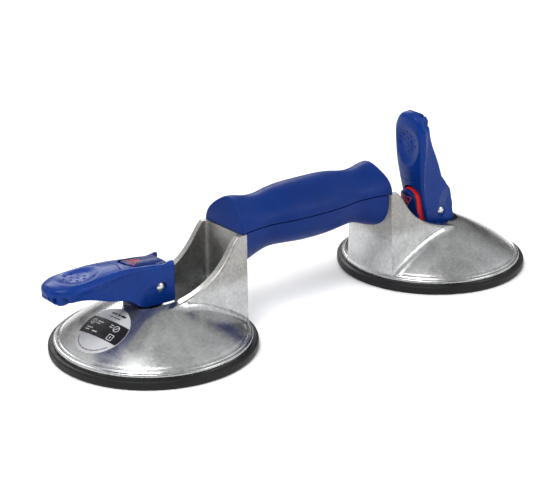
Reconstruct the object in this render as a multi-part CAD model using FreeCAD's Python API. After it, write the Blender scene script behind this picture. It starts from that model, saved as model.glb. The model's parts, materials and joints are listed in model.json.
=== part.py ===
import FreeCAD, Part
import math
import os
from FreeCAD import Vector

# Two-cup lever suction lifter, in millimetres.
# Origin: midway between the two cups, on the plane that the pads stand on.
# +X runs along the handle from the left cup to the right cup, +Z is up.

# ---- driving dimensions ----
CUP_SPACING = 216.0
CUP_X = CUP_SPACING / 2.0
PAD_RADIUS = 60.0
PAD_THICKNESS = 5.2
PAD_GROOVE_RADII = (40.0, 46.0, 52.0)
PAD_GROOVE_DEPTH = 0.7

RIM_RADIUS = 56.6
RIM_TOP = 9.4
DOME_RADIUS = 52.4
DOME_TOP = 32.3
DOME_WALL = 4.0
RIM_PROFILE = (
    # radius, height of the beaded rim, from the dome's foot outwards
    (52.0, RIM_TOP + 0.1),
    (52.6, RIM_TOP - 0.1),
    (53.1, RIM_TOP - 0.6),
    (53.6, RIM_TOP - 0.8),
    (54.2, RIM_TOP - 0.6),
    (54.8, RIM_TOP - 0.7),
    (55.2, RIM_TOP - 1.4),
    (55.7, RIM_TOP - 1.6),
    (56.2, RIM_TOP - 1.7),
    (RIM_RADIUS, RIM_TOP - 2.2),
)

COLUMN_RADIUS = 56.0
WALL_FILLET = 6.0
WALL_EDGE_FILLET = 1.2
COLUMN_HALF_WIDTH_BOTTOM = 21.2
COLUMN_HALF_WIDTH_TOP = 19.0
COLUMN_TOP = 60.4

CHANNEL_HALF_WIDTH = 15.0
CHANNEL_FLOOR = 22.0
CHANNEL_START = 58.4
CHANNEL_REACH = 17.5
TROUGH_WALL = 4.0
BUSH_BOSS_BOTTOM = 15.5
BUSH_RADIUS = 6.0

BAR_HALF_WIDTH = 10.0
BAR_BOTTOM = 47.0
BAR_TOP = 68.0
RIB_STEP = 7.6
RIB_END_GAP = 6.0
BAR_OVERLAP = 2.0

GRIP_HALF_LENGTH = 57.6
GRIP_TOP = 78.7
GRIP_PROFILE = (
    # distance from the middle, half-width, crown height, underside height
    (9.0, 18.2, 78.7, 42.5),
    (18.0, 17.6, 78.4, 43.2),
    (26.0, 16.2, 77.5, 43.7),
    (33.0, 15.2, 76.2, 43.5),
    (40.0, 15.3, 75.8, 41.8),
    (47.5, 16.1, 76.7, 39.0),
    (53.5, 17.3, 77.9, 37.5),
    (57.6, 18.4, 78.1, 37.0),
)
GRIP_MIDDLE = (0.0, 18.4, GRIP_TOP, 42.3)
GRIP_STATIONS = (
    [(-x, w, top, bottom) for x, w, top, bottom in reversed(GRIP_PROFILE)]
    + [GRIP_MIDDLE]
    + list(GRIP_PROFILE)
)
COVER_END_BOW = 0.4
COVER_END_LEAN = 3.6
COVER_END_WALL = 3.7
TONGUE_HALF_LENGTH = 48.0
TONGUE_HALF_WIDTH = 13.4

SCREW_XS = (-34.0, 0.0, 34.0)
SCREW_RADIUS = 2.0
SCREW_TOP = 66.0
SCREW_HEAD_RADIUS = 3.6
SCREW_HEAD_HEIGHT = 2.0
SCREW_SEAT = 45.7
SEAM_LOW = 60.1
SEAM_HIGH = 60.8
SHELL_FIT = 0.3

LABEL_DIRECTION = -176.0
LABEL_DISTANCE = 35.8
LABEL_RADIUS = 16.6
LABEL_THICKNESS = 0.25

LEVER_TRAVEL = 98.0
ROD_TRAVEL = 2.5
PIN_HEIGHT_ENGAGED = 38.5
PIN_HEIGHT_RELEASED = PIN_HEIGHT_ENGAGED - ROD_TRAVEL

PIN_RADIUS = 2.5
RUNNING_CLEARANCE = 0.06
CHEEK_HALF_WIDTH = 9.7
PIN_HALF_LENGTH = 9.3
PIN_DOME = 0.9
PIN_HEAD_HOLE_RADIUS = 3.5
PIN_HEAD_HOLE_DEPTH = 1.3

ROD_RADIUS = 4.0
ROD_FLAT_HALF = 3.0
EYE_RADIUS = 5.5
SHANK_TOP = -13.85
PLATE_RADIUS = 30.0
PLATE_THICKNESS = 2.5
NUT_HEIGHT = 3.5
NUT_FLATS = 13.0
PLATE_BOTTOM = -PIN_HEIGHT_RELEASED + PAD_THICKNESS + 0.3
PLATE_HOLES = 6
PLATE_HOLE_RADIUS = 3.0
PLATE_HOLE_CIRCLE = 21.0

CAM_RADIUS = 10.4
CAM_CENTRE_X = 1.09
CAM_CENTRE_Z = -1.25
CAM_HALF_WIDTH = 7.0
CAM_SLOT_HALF = 3.3
CAM_SLOT_END = 6.3
CAM_CLEARANCE = 0.35

EAR_END = -6.0
EAR_TOP = 14.6
THUMB_X = 48.0
THUMB_Z = 19.6
THUMB_RADII = (16.0, 10.4, 4.0)
THUMB_TILT = 5.0
CAM_ROOM_END = 24.0
CAM_TOE = ((4.0, 5.0), (23.2, 5.0), (23.2, -2.6), (21.0, -5.0), (17.0, -7.4), (11.0, -10.0),
           (4.0, -11.2), (4.0, 5.0))

RECESS_HALF_WIDTH = 7.6
RECESS_END = 21.6
RECESS_FLOOR = 6.9
INDICATOR_HALF_WIDTH = 7.1
INDICATOR_START = -7.6
INDICATOR_END = 20.0
INDICATOR_BOTTOM = 7.5
INDICATOR_BODY_TOP = 13.6
INDICATOR_CAP_TOP = 17.0
INDICATOR_TRAVEL = 4.7
INDICATOR_NOSE_RADIUS = 9.5
INDICATOR_NOSE_X = 1.2
INDICATOR_NOSE_Z = 6.4
STEM_X = 14.0
STEM_HALF_LENGTH = 3.0
STEM_HALF_WIDTH = 2.5
STEM_BOTTOM = -4.4
STEM_GAP = 0.35
STOP_PIN_Z = 2.6
STOP_PIN_RADIUS = 1.2
CAP_LIP = 0.5
CAP_BOW_RADIUS = 14.0
CAP_SLOPE = 5.0
SPRING_INNER_RADIUS = 4.1
SPRING_OUTER_RADIUS = 5.6
SPRING_THICKNESS = 0.4
SPRING_BOTTOM = 5.35
SPRING_RISE = 1.25

X_AXIS = Vector(1, 0, 0)
Y_AXIS = Vector(0, 1, 0)
Z_AXIS = Vector(0, 0, 1)
ORIGIN = Vector(0, 0, 0)
FOOT_SLOPE = Vector(0.78, 0, -0.62)
LEFT, RIGHT = -1, 1
SIDE_NAMES = {LEFT: "left", RIGHT: "right"}

os.makedirs("parts", exist_ok=True)


# ---- small helpers ----
def export(shape, name):
    """Write one node, after checking that it is made of valid solids."""
    shape = shape.removeSplitter()
    if not shape.isValid() or not shape.Solids:
        raise RuntimeError(name + " is not a valid solid")
    shape.exportStep("parts/" + name + ".step")
    print(name, len(shape.Solids), "solid(s)", round(shape.Volume / 1000.0, 2), "cm3")


def block(x0, x1, y0, y1, z0, z1):
    return Part.makeBox(x1 - x0, y1 - y0, z1 - z0, Vector(x0, y0, z0))


def slab(x0, x1, half_width, z0, z1):
    """A block centred on the XZ plane."""
    return block(x0, x1, -half_width, half_width, z0, z1)


def upright(radius, z0, z1, x=0.0, y=0.0):
    return Part.makeCylinder(radius, z1 - z0, Vector(x, y, z0), Z_AXIS)


def crosswise(radius, half_length, x=0.0, z=0.0):
    """A cylinder along Y, centred on the XZ plane."""
    return Part.makeCylinder(radius, 2 * half_length, Vector(x, -half_length, z), Y_AXIS)


def spline(points, start=None, end=None):
    curve = Part.BSplineCurve()
    if start is not None:
        curve.interpolate(Points=points, InitialTangent=start, FinalTangent=end)
    else:
        curve.interpolate(Points=points)
    return curve.toShape()


def polyline(points):
    return [Part.makeLine(a, b) for a, b in zip(points[:-1], points[1:])]


def at_xz(pairs):
    return [Vector(x, 0, z) for x, z in pairs]


def face_of(edges):
    return Part.Face(Part.Wire(edges))


def prism(face, half_width):
    """Extrude a face in the XZ plane symmetrically along Y."""
    face = face.copy()
    face.translate(Vector(0, -half_width, 0))
    return face.extrude(Vector(0, 2 * half_width, 0))


def turned(edges):
    """Revolve a closed outline in the XZ plane about the Z axis."""
    return face_of(edges).revolve(ORIGIN, Z_AXIS, 360)


def mirrored(shape):
    return shape.mirror(ORIGIN, X_AXIS)


def moved(shape, x=0.0, y=0.0, z=0.0):
    shape = shape.copy()
    shape.translate(Vector(x, y, z))
    return shape


def place_rod_part(shape, side):
    """Move a part made round the pin axis (+X outwards) to its cup."""
    shape = shape.copy()
    if side == LEFT:
        shape.rotate(ORIGIN, Z_AXIS, 180)
        return moved(shape, -CUP_X, 0, PIN_HEIGHT_ENGAGED)
    return moved(shape, CUP_X, 0, PIN_HEIGHT_RELEASED)


def place_lever_part(shape, side):
    """The left lever lies folded outwards; the right one stands released."""
    shape = shape.copy()
    if side == RIGHT:
        shape.rotate(ORIGIN, Y_AXIS, -LEVER_TRAVEL)
    return place_rod_part(shape, side)


def place_indicator_part(shape, side):
    """The indicator is pressed in by the folded lever and stands out of the other."""
    if side == RIGHT:
        shape = moved(shape, z=INDICATOR_TRAVEL)
    return place_lever_part(shape, side)


# ---- the casting ----
def dome_outline(radius, top, foot, drop=0.0):
    """Points down the dome surface, from its level crown out to its foot."""
    shape_points = [(0.0, top), (0.38, top - 4.1), (0.72, top - 13.0), (1.0, foot)]
    return [Vector(k * radius, 0, z - drop) for k, z in shape_points]


def bare_dome():
    """Dome without its rim, run on outwards below the rim's top."""
    skirt = Vector(DOME_RADIUS + 7.6, 0, RIM_TOP - 6.0)
    surface = dome_outline(DOME_RADIUS, DOME_TOP, RIM_TOP + 0.2) + [skirt]
    base = [skirt, Vector(skirt.x, 0, 0), ORIGIN, surface[0]]
    return turned([spline(surface, X_AXIS, FOOT_SLOPE)] + polyline(base))


def rim_ring():
    """Beaded rim round the dome's foot."""
    inner = DOME_RADIUS - 4.4
    start = (inner, PAD_THICKNESS)
    outline = [start, (inner, RIM_TOP + 0.1), *RIM_PROFILE, (RIM_RADIUS, PAD_THICKNESS), start]
    return turned(polyline(at_xz(outline)))


def channel_plan(grow):
    """Plan of the U channel: square at the column, round outside the cup's axis."""
    half = CHANNEL_HALF_WIDTH + grow
    start = CHANNEL_START - CUP_X - grow
    centre = CHANNEL_REACH - CHANNEL_HALF_WIDTH
    inner_radius = 2.5
    a = Vector(start, -half + inner_radius, 0)
    b = Vector(start + inner_radius, -half, 0)
    c = Vector(centre, -half, 0)
    d = Vector(centre + half, 0, 0)
    e = Vector(centre, half, 0)
    f = Vector(start + inner_radius, half, 0)
    g = Vector(start, half - inner_radius, 0)
    k = inner_radius * (1 - math.sqrt(0.5))
    low = Part.Arc(a, Vector(start + k, -half + k, 0), b).toShape()
    high = Part.Arc(f, Vector(start + k, half - k, 0), g).toShape()
    end = Part.Arc(c, d, e).toShape()
    return face_of([low, Part.makeLine(b, c), end, Part.makeLine(e, f), high, Part.makeLine(g, a)])


def channel_block(grow, floor, top):
    return moved(channel_plan(grow), z=floor).extrude(Vector(0, 0, top - floor))


def cup_cavity():
    """Hollow under the dome, with the channel's trough left standing in it."""
    inner = dome_outline(DOME_RADIUS - DOME_WALL, DOME_TOP, RIM_TOP + 0.6, DOME_WALL)
    foot = [inner[-1], Vector(inner[-1].x, 0, 0), ORIGIN, inner[0]]
    hollow = turned([spline(inner, X_AXIS, FOOT_SLOPE)] + polyline(foot))
    trough = channel_block(TROUGH_WALL, CHANNEL_FLOOR - TROUGH_WALL, DOME_TOP)
    guide_boss = upright(9.0, BUSH_BOSS_BOTTOM, CHANNEL_FLOOR)
    return hollow.cut(trough.fuse(guide_boss))


def column_solid():
    """Pedestal between the dome and the bar, in the cup's own frame."""
    crest = [
        (61.5, COLUMN_TOP), (63.6, 58.0), (66.8, 53.4), (70.4, 48.4), (76.0, 42.5), (82.0, 38.2),
        (89.5, 34.4), (97.5, 31.8), (106.0, 29.7), (116.0, 27.0), (128.0, 22.5),
    ]
    crest = [Vector(x - CUP_X, 0, z) for x, z in crest]
    slope = spline(crest, Vector(0.6, 0, -0.8), Vector(0.92, 0, -0.4))
    back = -COLUMN_RADIUS - 6.0
    rest = [crest[-1], Vector(crest[-1].x, 0, 0), Vector(back, 0, 0), Vector(back, 0, COLUMN_TOP)]
    body = prism(face_of([slope] + polyline(rest + [crest[0]])), COLUMN_HALF_WIDTH_BOTTOM + 5)
    low = COLUMN_HALF_WIDTH_BOTTOM
    high = COLUMN_HALF_WIDTH_TOP
    taper = face_of(polyline([
        Vector(-70, -low, 0), Vector(-70, low, 0), Vector(-70, high, COLUMN_TOP + 1),
        Vector(-70, -high, COLUMN_TOP + 1), Vector(-70, -low, 0),
    ])).extrude(Vector(100, 0, 0))
    body = body.common(taper).common(upright(COLUMN_RADIUS, -1, COLUMN_TOP + 1)).Solids[0]
    crests = []
    for edge in body.Edges:
        box = edge.BoundBox
        if box.ZMax > COLUMN_TOP - 1 and box.ZMin < DOME_TOP and box.XMax > 0:
            crests.append(edge)
    return body.makeFillet(WALL_EDGE_FILLET, crests).Solids[0]


def cup_outside():
    """Dome and pedestal, joined by a generous fillet, with the rim added."""
    joined = bare_dome().fuse(column_solid()).removeSplitter().Solids[0]
    seams = []
    for edge in joined.Edges:
        box = edge.BoundBox
        along_wall = min(abs(box.YMin), abs(box.YMax)) > CHANNEL_HALF_WIDTH
        if along_wall and RIM_TOP - 4 < box.ZMin and box.ZMax < DOME_TOP + 1 and edge.Length > 20:
            seams.append(edge)
    joined = joined.makeFillet(WALL_FILLET, seams).Solids[0]
    joined = joined.common(upright(RIM_RADIUS - 0.3, PAD_THICKNESS, COLUMN_TOP + 5))
    return joined.fuse(rim_ring()).removeSplitter().Solids[0]


def cast_body():
    solid = cup_outside().cut(channel_block(0.0, CHANNEL_FLOOR, COLUMN_TOP + 5))
    solid = solid.cut(cup_cavity())
    solid = solid.cut(upright(BUSH_RADIUS, BUSH_BOSS_BOTTOM - 1, CHANNEL_FLOOR + 1))
    right = moved(solid, CUP_X)
    bar_end = CUP_X - COLUMN_RADIUS + BAR_OVERLAP
    rib_end = bar_end - RIB_END_GAP
    rib_foot = BAR_TOP - RIB_STEP
    bar = slab(-bar_end, bar_end, BAR_HALF_WIDTH, BAR_BOTTOM, rib_foot)
    rib = slab(-rib_end, rib_end, BAR_HALF_WIDTH, rib_foot - 0.4, BAR_TOP)
    body = right.fuse([mirrored(right), bar, rib])
    for x in SCREW_XS:
        body = body.cut(upright(SCREW_RADIUS + 0.05, BAR_BOTTOM - 1, SCREW_TOP + 0.5, x))
    return body


# ---- the grip ----
def cover_section(x, half_width, top):
    """Gothic arch over the seam: upright sides, narrow crown."""
    rise = top - SEAM_HIGH
    half = [(1.0, 0.0), (0.955, 0.24), (0.81, 0.5), (0.52, 0.78), (0.0, 1.0)]
    right = [Vector(x, k * half_width, SEAM_HIGH + h * rise) for k, h in half]
    left = [Vector(x, -p.y, p.z) for p in reversed(right[:-1])]
    arch = spline(right + left, Vector(0, -0.15, 1), Vector(0, -0.15, -1))
    return Part.Wire([arch, Part.makeLine(left[-1], right[0])])


def lower_section(x, half_width, bottom):
    """Trough under the seam: upright sides and a round bottom."""
    depth = SEAM_LOW - bottom
    half = [(1.0, 0.0), (0.985, 0.4), (0.84, 0.72), (0.5, 0.93), (0.0, 1.0)]
    right = [Vector(x, k * half_width, SEAM_LOW - h * depth) for k, h in half]
    left = [Vector(x, -p.y, p.z) for p in reversed(right[:-1])]
    trough = spline(right + left, Vector(0, -0.02, -1), Vector(0, -0.02, 1))
    return Part.Wire([trough, Part.makeLine(left[-1], right[0])])


def grip_cover():
    """Arched upper half of the grip. Its ends lean inward and it sits on the casting's bar."""
    shell = Part.makeLoft([cover_section(x, w, top) for x, w, top, _ in GRIP_STATIONS], True, False)
    crest = GRIP_TOP + 3
    edge_points = [(GRIP_HALF_LENGTH, SEAM_HIGH - 1), (GRIP_HALF_LENGTH - COVER_END_BOW, 68.0),
                   (GRIP_HALF_LENGTH - COVER_END_LEAN, crest)]
    a, b, c = at_xz(edge_points)
    right_end = Part.Arc(a, b, c).toShape()
    top_line = Part.makeLine(c, Vector(-c.x, 0, c.z))
    base_line = Part.makeLine(Vector(-a.x, 0, a.z), a)
    side_view = Part.Face(Part.Wire([right_end, top_line, mirrored(right_end), base_line]))
    shell = shell.common(prism(side_view, 30))
    rib_half_length = CUP_X - COLUMN_RADIUS - COVER_END_WALL
    rib_room = slab(-rib_half_length, rib_half_length, BAR_HALF_WIDTH + SHELL_FIT,
                    SEAM_HIGH - 1, BAR_TOP + SHELL_FIT)
    return shell.cut(rib_room)


def grip_lower():
    """Trough-shaped lower half of the grip, held up by three screws."""
    sections = [lower_section(x, w, bottom) for x, w, _, bottom in GRIP_STATIONS]
    shell = Part.makeLoft(sections, True, False)
    for side in (LEFT, RIGHT):
        column = upright(COLUMN_RADIUS + SHELL_FIT, 0, COLUMN_TOP + 5, side * CUP_X)
        shell = shell.cut(column)
    bar_room = slab(-GRIP_HALF_LENGTH, GRIP_HALF_LENGTH, BAR_HALF_WIDTH + SHELL_FIT,
                    BAR_BOTTOM - SHELL_FIT, COLUMN_TOP + 5)
    tongue = slab(-TONGUE_HALF_LENGTH, TONGUE_HALF_LENGTH, TONGUE_HALF_WIDTH, SEAM_LOW - 1, SEAM_HIGH)
    shell = shell.fuse(tongue).cut(bar_room)
    for x in SCREW_XS:
        shell = shell.cut(upright(SCREW_RADIUS + 0.15, 30, BAR_BOTTOM + 1, x))
        shell = shell.cut(upright(SCREW_HEAD_RADIUS + 0.3, 30, SCREW_SEAT, x))
    return shell


def grip_screw(x):
    """Pan-head screw driven up from under the grip, with a square drive recess."""
    head = upright(SCREW_HEAD_RADIUS, SCREW_SEAT - SCREW_HEAD_HEIGHT, SCREW_SEAT, x)
    shank = upright(SCREW_RADIUS, SCREW_SEAT, SCREW_TOP, x)
    socket = block(x - 1.2, x + 1.2, -1.2, 1.2, SCREW_SEAT - SCREW_HEAD_HEIGHT, SCREW_SEAT - 1)
    return head.fuse(shank).cut(socket)


# ---- pads, label and the fixed mechanism parts ----
def suction_pad():
    """Rubber disc with a bevelled lip and shallow sealing grooves underneath."""
    outline = at_xz([
        (0, 0), (PAD_RADIUS - 1.2, 0), (PAD_RADIUS - 0.2, 0.9), (PAD_RADIUS, 1.6),
        (PAD_RADIUS, PAD_THICKNESS - 1.2), (PAD_RADIUS - 0.9, PAD_THICKNESS),
        (0, PAD_THICKNESS), (0, 0),
    ])
    pad = turned(polyline(outline))
    for radius in PAD_GROOVE_RADII:
        pad = pad.cut(Part.makeTorus(radius, PAD_GROOVE_DEPTH))
    return pad


def rod_bushing():
    tube = upright(BUSH_RADIUS, BUSH_BOSS_BOTTOM, CHANNEL_FLOOR)
    flange = upright(8.0, BUSH_BOSS_BOTTOM - 0.9, BUSH_BOSS_BOTTOM)
    return tube.fuse(flange).cut(upright(ROD_RADIUS + RUNNING_CLEARANCE, 0, 40))


def bearing_plate():
    top = PIN_HEIGHT_ENGAGED + CAM_CENTRE_Z - CAM_RADIUS - CAM_CLEARANCE
    plate = slab(-11, 11, CAM_HALF_WIDTH, CHANNEL_FLOOR, top)
    upright_edges = [e for e in plate.Edges if abs(e.tangentAt(e.FirstParameter).z) > 0.99]
    plate = plate.makeFillet(2.0, upright_edges)
    return plate.cut(upright(ROD_RADIUS + 0.6, 0, 40))


def label():
    """Round foil that follows the dome's surface."""
    x = LABEL_DISTANCE * math.cos(math.radians(LABEL_DIRECTION))
    y = LABEL_DISTANCE * math.sin(math.radians(LABEL_DIRECTION))
    skin = moved(bare_dome(), z=LABEL_THICKNESS).cut(bare_dome())
    tilt = math.radians(35.0)
    normal = Vector(x, y, 0).normalize() * math.sin(tilt) + Z_AXIS * math.cos(tilt)
    start = Vector(x, y, 20) - normal * 8
    cutter = Part.makeCylinder(LABEL_RADIUS, 20, start, normal)
    return moved(skin.common(cutter), -CUP_X)


# ---- rod, plate and pin ----
def pull_rod():
    """Round rod with a milled flat and an eye for the pivot pin."""
    flat_room = slab(-10, 10, ROD_FLAT_HALF, SHANK_TOP, 20)
    flat = upright(ROD_RADIUS, SHANK_TOP, 0).common(flat_room)
    eye = crosswise(EYE_RADIUS, ROD_FLAT_HALF)
    rod = upright(ROD_RADIUS, PLATE_BOTTOM, SHANK_TOP).fuse([flat, eye])
    return rod.cut(crosswise(PIN_RADIUS, 10))


def pad_plate():
    below, above = PLATE_BOTTOM - 1, PLATE_BOTTOM + PLATE_THICKNESS + 1
    plate = upright(PLATE_RADIUS, PLATE_BOTTOM, PLATE_BOTTOM + PLATE_THICKNESS)
    for k in range(PLATE_HOLES):
        a = 2 * math.pi * k / PLATE_HOLES
        x, y = PLATE_HOLE_CIRCLE * math.cos(a), PLATE_HOLE_CIRCLE * math.sin(a)
        plate = plate.cut(upright(PLATE_HOLE_RADIUS, below, above, x, y))
    return plate.cut(upright(ROD_RADIUS, below, above))


def lock_nut():
    bottom = PLATE_BOTTOM + PLATE_THICKNESS
    corner = NUT_FLATS / math.sqrt(3)
    points = []
    for k in range(7):
        a = math.radians(60 * k)
        points.append(Vector(corner * math.cos(a), corner * math.sin(a), bottom))
    nut = face_of(polyline(points)).extrude(Vector(0, 0, NUT_HEIGHT))
    return nut.cut(upright(ROD_RADIUS, bottom - 1, bottom + 5))


def pivot_pin():
    """Pin with domed ends."""
    straight = PIN_HALF_LENGTH - PIN_DOME
    pin = crosswise(PIN_RADIUS, straight)
    cap_radius = (PIN_RADIUS ** 2 + PIN_DOME ** 2) / (2 * PIN_DOME)
    for end in (-1, 1):
        centre = Vector(0, end * (PIN_HALF_LENGTH - cap_radius), 0)
        ball = Part.makeSphere(cap_radius, centre)
        near, far = sorted((end * straight, end * (PIN_HALF_LENGTH + 1)))
        room = block(-PIN_RADIUS, PIN_RADIUS, near, far, -PIN_RADIUS, PIN_RADIUS)
        pin = pin.fuse(ball.common(room))
    return pin


# ---- lever, in its folded position with the pin at the origin ----
def lever_section(x, bottom, crease, crown, low_half, half):
    """One slice: flat underside, upright side, crease, and a bowed top."""
    a = Vector(x, -low_half, bottom)
    b = Vector(x, low_half, bottom)
    c = Vector(x, half, crease)
    d = Vector(x, 0, crown)
    e = Vector(x, -half, crease)
    return Part.Wire([Part.makeLine(a, b), Part.makeLine(b, c), Part.Arc(c, d, e).toShape(),
                      Part.makeLine(e, a)])


LEVER_SLICES = (
    # distance, underside, crease, crown, half-width below, half-width at the crease
    (-9.0, -9.4, 12.2, 13.6, 9.7, 9.7),
    (4.0, -10.2, 13.0, 14.6, 9.7, 9.7),
    (13.5, -8.0, 13.6, 16.0, 9.7, 9.8),
    (19.4, -3.9, 13.9, 17.2, 9.8, 10.3),
    (27.4, -1.2, 14.2, 18.0, 10.0, 11.3),
    (36.4, 1.2, 13.6, 18.2, 10.6, 12.4),
    (44.4, 3.9, 12.8, 17.8, 11.2, 13.2),
    (53.4, 5.9, 12.3, 17.3, 11.6, 13.3),
    (59.4, 5.7, 12.2, 16.8, 11.0, 12.7),
    (64.4, 5.1, 12.1, 15.8, 9.2, 10.4),
    (67.6, 8.4, 12.0, 14.6, 6.2, 7.0),
    (69.7, 11.2, 12.0, 12.9, 1.8, 2.2),
)


def lever():
    body = Part.makeLoft([lever_section(*row) for row in LEVER_SLICES], True, False)
    ears = slab(LEVER_SLICES[0][0], EAR_END, CHEEK_HALF_WIDTH, 5.0, EAR_TOP)
    body = body.fuse(ears)
    cam_room = slab(-20.0, CAM_ROOM_END, CAM_HALF_WIDTH + 0.1, -20.0, RECESS_FLOOR)
    straight_end = RECESS_END - RECESS_HALF_WIDTH
    recess = slab(-20.0, straight_end, RECESS_HALF_WIDTH, RECESS_FLOOR, 30.0)
    recess_end = upright(RECESS_HALF_WIDTH, RECESS_FLOOR, 30.0, straight_end)
    body = body.cut(cam_room).cut(recess.fuse(recess_end))
    body = body.cut(crosswise(PIN_RADIUS + RUNNING_CLEARANCE, 20))
    body = body.cut(crosswise(STOP_PIN_RADIUS, 9.0, STEM_X, STOP_PIN_Z))
    for side in (-1, 1):
        inner = CHEEK_HALF_WIDTH - PIN_HEAD_HOLE_DEPTH
        near, far = sorted((side * inner, side * 15))
        hole = Part.makeCylinder(PIN_HEAD_HOLE_RADIUS, far - near, Vector(0, near, 0), Y_AXIS)
        body = body.cut(hole)
    thumb = Part.makeSphere(1.0)
    matrix = FreeCAD.Matrix()
    matrix.scale(*THUMB_RADII)
    thumb = thumb.transformGeometry(matrix)
    thumb.rotate(ORIGIN, Y_AXIS, THUMB_TILT)
    return body.cut(moved(thumb, THUMB_X, 0, THUMB_Z))


def cam_block():
    """Eccentric cam under the lever, slotted for the rod, with a toe that holds the indicator's stem."""
    disc = crosswise(CAM_RADIUS, CAM_HALF_WIDTH, CAM_CENTRE_X, CAM_CENTRE_Z)
    disc = disc.common(slab(-20, 20, 20, -20, RECESS_FLOOR - 0.6))
    toe = prism(face_of(polyline(at_xz(CAM_TOE))), CAM_HALF_WIDTH)
    slot = slab(-20, CAM_SLOT_END, CAM_SLOT_HALF, -20, 20)
    solid = disc.fuse(toe).cut(slot).cut(crosswise(PIN_RADIUS + RUNNING_CLEARANCE, 20))
    stem_room = slab(STEM_X - STEM_HALF_LENGTH - STEM_GAP, STEM_X + STEM_HALF_LENGTH + STEM_GAP,
                     STEM_HALF_WIDTH + STEM_GAP, STEM_BOTTOM - STEM_GAP, 20)
    return solid.cut(stem_room).cut(crosswise(STOP_PIN_RADIUS, 20, STEM_X, STOP_PIN_Z))


# ---- vacuum indicator, which slides out of the lever ----
def indicator_plan(half, grow):
    """Plan outline of the indicator: square at the pivot end, round at the other."""
    start = INDICATOR_START - grow
    centre = INDICATOR_END + grow - half
    a = Vector(start, -half, 0)
    b = Vector(centre, -half, 0)
    c = Vector(centre + half, 0, 0)
    d = Vector(centre, half, 0)
    e = Vector(start, half, 0)
    return face_of([Part.makeLine(a, b), Part.Arc(b, c, d).toShape(), Part.makeLine(d, e),
                    Part.makeLine(e, a)])


def indicator_envelope():
    """Room with a rounded pivot end, which trims the indicator's corner."""
    rounded = crosswise(INDICATOR_NOSE_RADIUS, 20, INDICATOR_NOSE_X, INDICATOR_NOSE_Z)
    beyond = slab(INDICATOR_NOSE_X, 40, 20, -10, 40)
    below = slab(-20, 40, 20, -10, INDICATOR_NOSE_Z)
    return rounded.fuse(beyond).fuse(below)


def indicator_body():
    """Sliding block with a slotted stem, which the stop pin holds."""
    height = INDICATOR_BODY_TOP - INDICATOR_BOTTOM
    body = moved(indicator_plan(INDICATOR_HALF_WIDTH, 0), z=INDICATOR_BOTTOM).extrude(Vector(0, 0, height))
    body = body.common(indicator_envelope())
    stem = slab(STEM_X - STEM_HALF_LENGTH, STEM_X + STEM_HALF_LENGTH, STEM_HALF_WIDTH,
                STEM_BOTTOM, INDICATOR_BOTTOM + 1)
    slot_half = STOP_PIN_RADIUS + RUNNING_CLEARANCE
    slot_low = STOP_PIN_Z - INDICATOR_TRAVEL
    slot = slab(STEM_X - slot_half, STEM_X + slot_half, 10, slot_low, STOP_PIN_Z)
    for z in (slot_low, STOP_PIN_Z):
        slot = slot.fuse(crosswise(slot_half, 10, STEM_X, z))
    return body.fuse(stem).cut(slot)


def indicator_cap():
    """Cap with a lip, and a top that is bowed crosswise and falls towards the pivot."""
    plan = indicator_plan(INDICATOR_HALF_WIDTH - CAP_LIP, -CAP_LIP)
    cap = moved(plan, z=INDICATOR_BODY_TOP).extrude(Vector(0, 0, 6))
    crest = Vector(INDICATOR_END, 0, INDICATOR_CAP_TOP)
    bow = Part.makeCylinder(CAP_BOW_RADIUS, 120, crest + Vector(-60, 0, -CAP_BOW_RADIUS), X_AXIS)
    bow.rotate(crest, Y_AXIS, -CAP_SLOPE)
    return cap.common(bow).common(indicator_envelope())


def indicator_pin():
    return crosswise(STOP_PIN_RADIUS, 8.8, STEM_X, STOP_PIN_Z)


def indicator_spring():
    """Cone-shaped disc spring round the stem, between the cam's toe and the indicator."""
    high = SPRING_BOTTOM + SPRING_RISE
    outline = at_xz([
        (SPRING_INNER_RADIUS, SPRING_BOTTOM), (SPRING_OUTER_RADIUS, high),
        (SPRING_OUTER_RADIUS, high + SPRING_THICKNESS),
        (SPRING_INNER_RADIUS, SPRING_BOTTOM + SPRING_THICKNESS),
        (SPRING_INNER_RADIUS, SPRING_BOTTOM),
    ])
    return moved(turned(polyline(outline)), STEM_X)


# ---- export ----
export(cast_body(), "cast_body")
export(grip_cover(), "grip_cover")
export(grip_lower(), "grip_lower")
export(Part.makeCompound([grip_screw(x) for x in SCREW_XS]), "grip_screws")
export(label(), "label")

FIXED_PARTS = {"suction_pad": suction_pad, "rod_bushing": rod_bushing, "bearing_plate": bearing_plate}
ROD_PARTS = {"pull_rod": pull_rod, "pad_plate": pad_plate, "lock_nut": lock_nut, "pivot_pin": pivot_pin}
LEVER_PARTS = {"lever": lever, "cam_block": cam_block, "indicator_pin": indicator_pin,
               "indicator_spring": indicator_spring}
INDICATOR_PARTS = {"indicator_body": indicator_body, "indicator_cap": indicator_cap}

for name, make in FIXED_PARTS.items():
    solid = make()
    for side in (LEFT, RIGHT):
        export(moved(solid, side * CUP_X), name + "_" + SIDE_NAMES[side])

for makers, place in ((ROD_PARTS, place_rod_part), (LEVER_PARTS, place_lever_part),
                      (INDICATOR_PARTS, place_indicator_part)):
    for name, make in makers.items():
        solid = make()
        for side in (LEFT, RIGHT):
            export(place(solid, side), name + "_" + SIDE_NAMES[side])
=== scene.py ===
import json
import math

import bmesh
import bpy
import numpy as np
from mathutils import Matrix, Vector
from mathutils.bvhtree import BVHTree


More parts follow.
